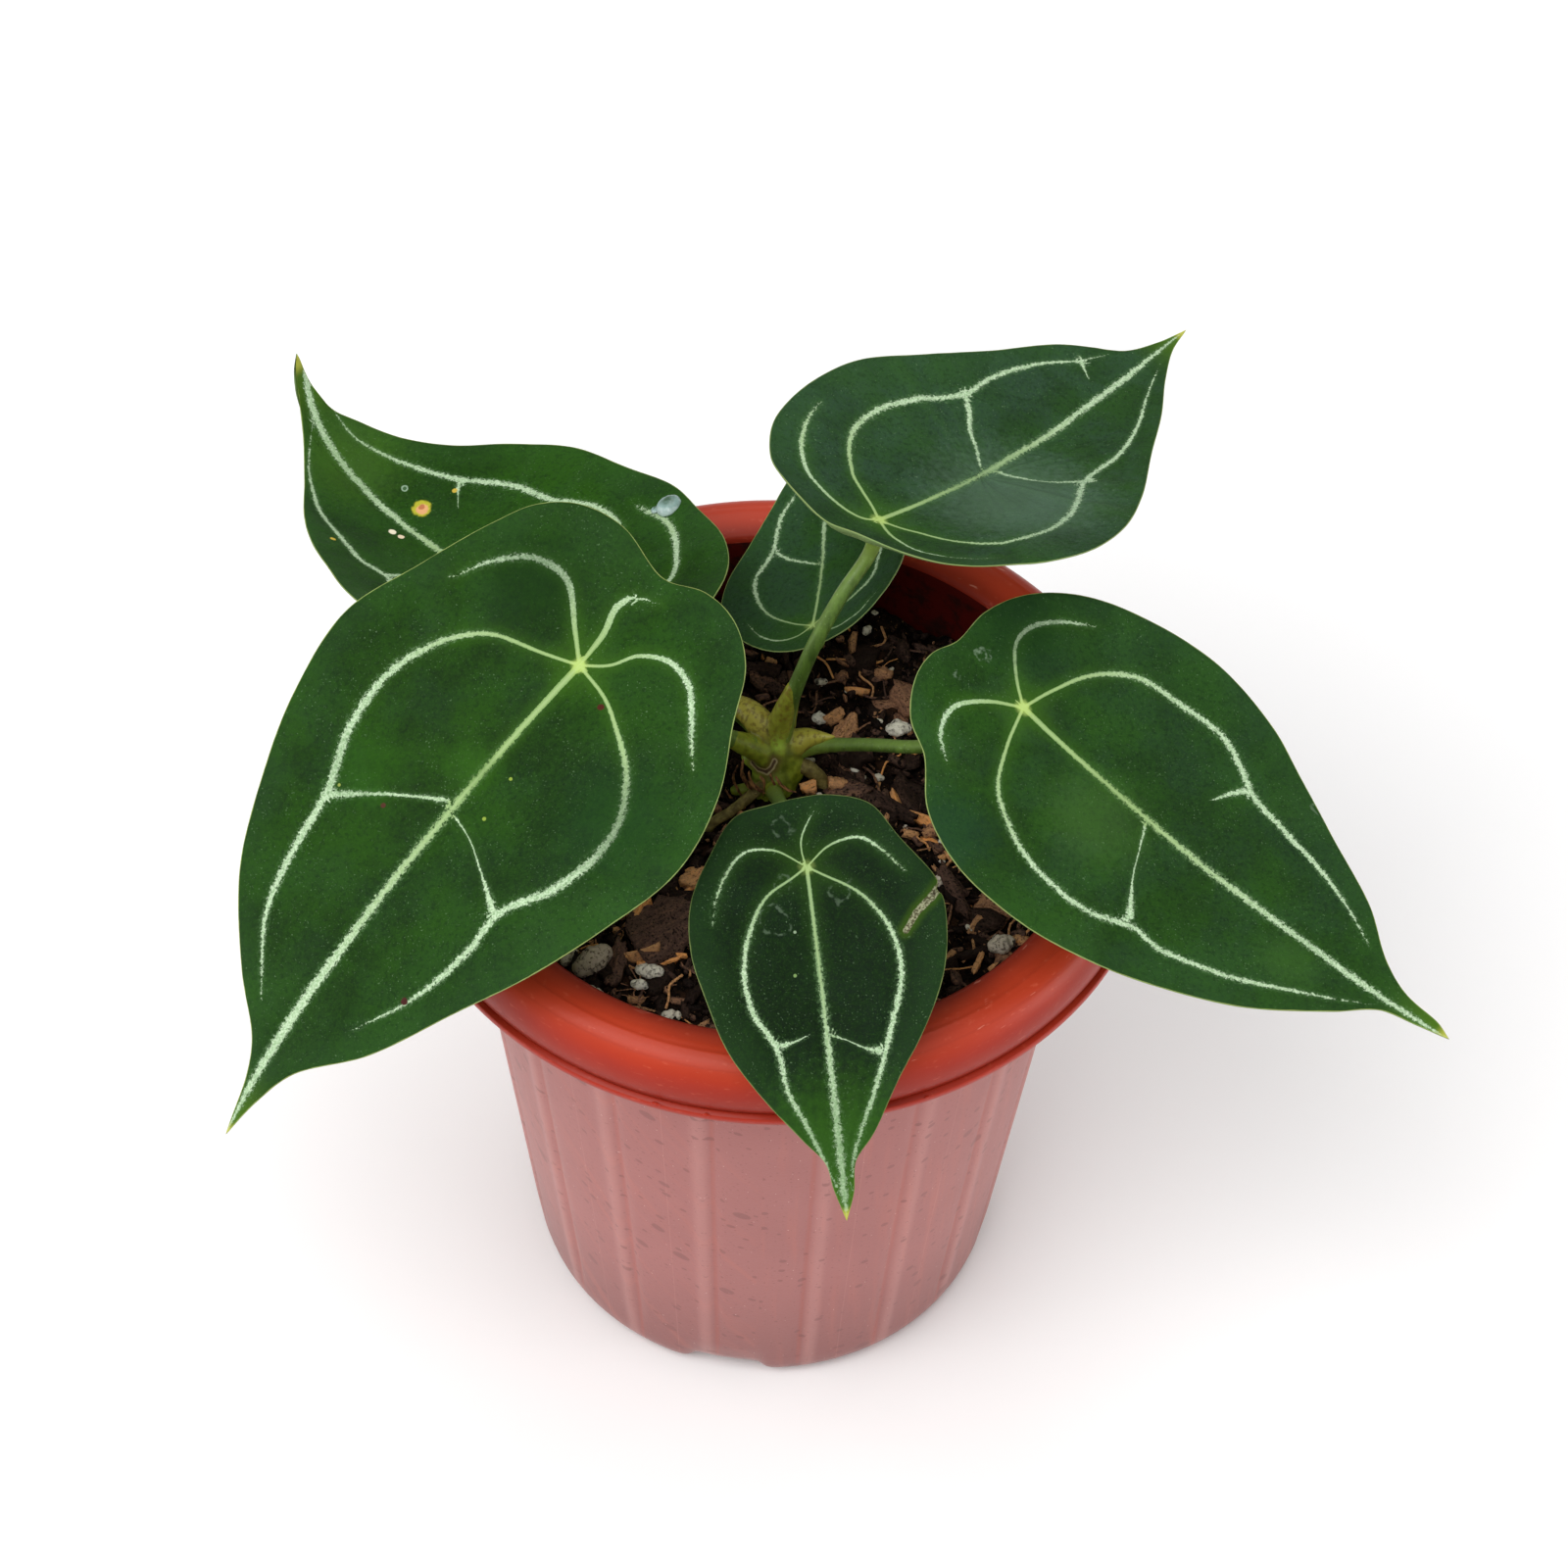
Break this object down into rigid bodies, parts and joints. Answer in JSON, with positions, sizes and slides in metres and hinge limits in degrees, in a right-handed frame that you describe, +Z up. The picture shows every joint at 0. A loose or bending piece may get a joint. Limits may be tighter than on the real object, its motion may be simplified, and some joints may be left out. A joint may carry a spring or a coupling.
{
  "type": "potted anthurium",
  "caption": "Small velvet-leaved anthurium with heart-shaped, pale-veined blades on slender petioles, growing in bark mix in a round plastic nursery pot with a rolled rim.",
  "frame": {"origin": "centre of the pot's underside, on the plane where the pot stands", "axes": "+Z up along the pot's axis; -Y is the front, towards the smallest front leaf; +X to the right"},
  "size_m": [0.2451, 0.2121, 0.218],
  "materials": {
    "pot_plastic": "terracotta-red moulded plastic, satin rim, dusty wall with water spots",
    "potting_mix": "damp black-brown peat and bark with pale perlite",
    "stem_green": "smooth yellow-green plant stem, slightly glossy",
    "petiole_green": "smooth green leaf stalk, satin",
    "root_tan": "olive to tan aerial root, matt",
    "leaf_green": "velvety dark green leaf with silvery veins and a thin pale edge"
  },
  "bodies": {
    "root": {"pot": "pot_plastic", "soil": "potting_mix", "stem": "stem_green", "petiole_front_left": "petiole_green", "petiole_back_left": "petiole_green", "petiole_back_right": "petiole_green", "petiole_right": "petiole_green", "petiole_front": "petiole_green", "petiole_back": "petiole_green", "root_right": "root_tan", "root_left": "root_tan", "blade_front_left": "leaf_green", "blade_back_left": "leaf_green", "blade_back_right": "leaf_green", "blade_right": "leaf_green", "blade_front": "leaf_green", "blade_back": "leaf_green"}
  },
  "joints": []
}
